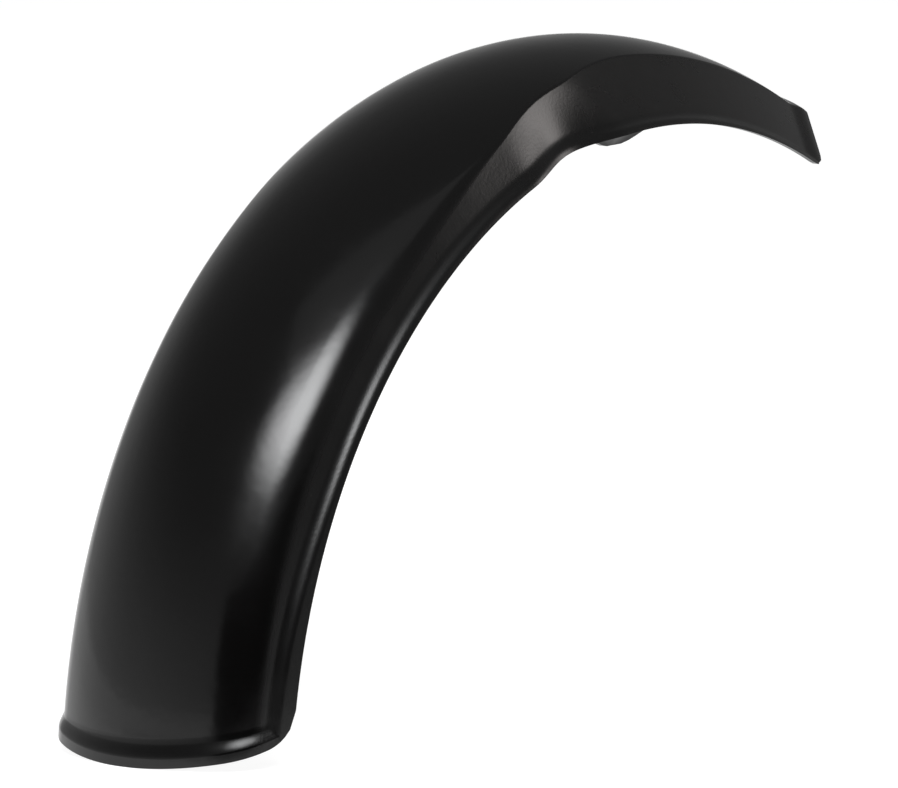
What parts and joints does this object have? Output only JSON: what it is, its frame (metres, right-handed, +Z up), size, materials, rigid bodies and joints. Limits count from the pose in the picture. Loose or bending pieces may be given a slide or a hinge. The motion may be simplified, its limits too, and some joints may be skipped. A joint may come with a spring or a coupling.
{
  "type": "scooter mudguard",
  "caption": "Arched one-piece gloss black mudguard with a rounded crown, sloping sides, a raised border and a fork recess in each side, for a scooter or moped front wheel.",
  "frame": {"origin": "the seat under the crown, on the inner face, midway between the two fork recesses", "axes": "+X forward along the direction of travel, +Y to the left across the guard, +Z up"},
  "size_m": [0.4327, 0.1222, 0.2824],
  "materials": {
    "shell": "gloss black moulded plastic"
  },
  "bodies": {
    "root": {"mudguard": "shell"}
  },
  "joints": []
}
